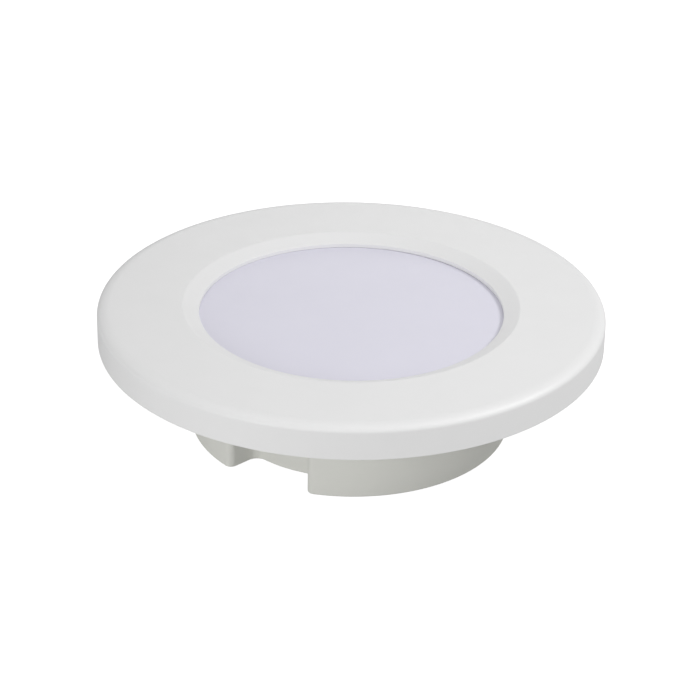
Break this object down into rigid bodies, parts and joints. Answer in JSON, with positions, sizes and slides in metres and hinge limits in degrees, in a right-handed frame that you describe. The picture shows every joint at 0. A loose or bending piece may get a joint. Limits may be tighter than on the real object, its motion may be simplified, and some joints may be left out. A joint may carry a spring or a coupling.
{
  "type": "underwater pool light",
  "caption": "Round wall-mounted underwater light with a twist-on trim ring, a flat frosted lens and a rear can with a cable bay.",
  "frame": {"origin": "centre of the can's flat rear face, which the light lies on", "axes": "+Z out of the lens; the cable bay is in the can's side at 239.5 degrees from +X, counter-clockwise seen from the lens"},
  "size_m": [0.25, 0.25, 0.064],
  "materials": {
    "trim_white": "satin white, UV-stable moulded plastic",
    "lens_frosted": "frosted translucent polycarbonate, faintly lavender",
    "can_grey": "pale grey moulded plastic, fine satin",
    "clamp_white": "glass-filled white moulding",
    "silicone": "translucent grey silicone",
    "black_rubber": "black nitrile rubber",
    "stainless": "plain stainless steel",
    "spreader_aluminium": "milled aluminium sheet",
    "thermal_grey": "soft thermal pad",
    "board_white": "white solder mask or reflector plastic",
    "board_green": "green solder mask",
    "phosphor_yellow": "yellow phosphor in a white package",
    "gland_grey": "moulded nylon",
    "component_black": "moulded epoxy or sleeve",
    "component_green": "moulded terminal plastic",
    "connector_white": "natural nylon",
    "lead_red": "silicone insulation",
    "lead_black": "silicone insulation"
  },
  "bodies": {
    "light_body": {"lens_diffuser": "lens_frosted", "lens_clamp_ring": "clamp_white", "clamp_screw_1": "stainless", "clamp_screw_2": "stainless", "clamp_screw_3": "stainless", "clamp_screw_4": "stainless", "clamp_screw_5": "stainless", "clamp_screw_6": "stainless", "lens_gasket": "silicone", "mounting_flange": "can_grey", "rear_can": "can_grey", "reflector_cone": "board_white", "led_board": "board_white", "led_1": "phosphor_yellow", "led_2": "phosphor_yellow", "led_3": "phosphor_yellow", "led_4": "phosphor_yellow", "led_5": "phosphor_yellow", "led_6": "phosphor_yellow", "led_7": "phosphor_yellow", "led_8": "phosphor_yellow", "led_9": "phosphor_yellow", "led_10": "phosphor_yellow", "led_11": "phosphor_yellow", "led_12": "phosphor_yellow", "led_board_connector": "connector_white", "thermal_pad": "thermal_grey", "heat_spreader": "spreader_aluminium", "board_screw_1": "stainless", "board_screw_2": "stainless", "board_screw_3": "stainless", "supply_lead_1": "lead_red", "supply_lead_2": "lead_black", "driver_board": "board_green", "driver_screw_1": "stainless", "driver_screw_2": "stainless", "driver_screw_3": "stainless", "driver_screw_4": "stainless", "driver_connector": "connector_white", "terminal_block": "component_green", "terminal_screw_1": "stainless", "terminal_screw_2": "stainless", "bridge_rectifier": "component_black", "input_capacitor": "component_black", "output_capacitor": "component_black", "inductor": "component_black", "controller_chip": "component_black", "switching_transistor": "component_black", "gland_body": "gland_grey", "gland_o_ring": "black_rubber", "gland_locknut": "gland_grey", "gland_seal": "black_rubber", "gland_cap_nut": "gland_grey"},
    "trim": {"trim_ring": "trim_white"}
  },
  "joints": [
    {"name": "trim_twist", "type": "hinge", "parent": "light_body", "child": "trim", "pos_m": [0, 0, 0.0555], "axis": [0, 0, 1], "range_deg": [0, 14]}
  ]
}
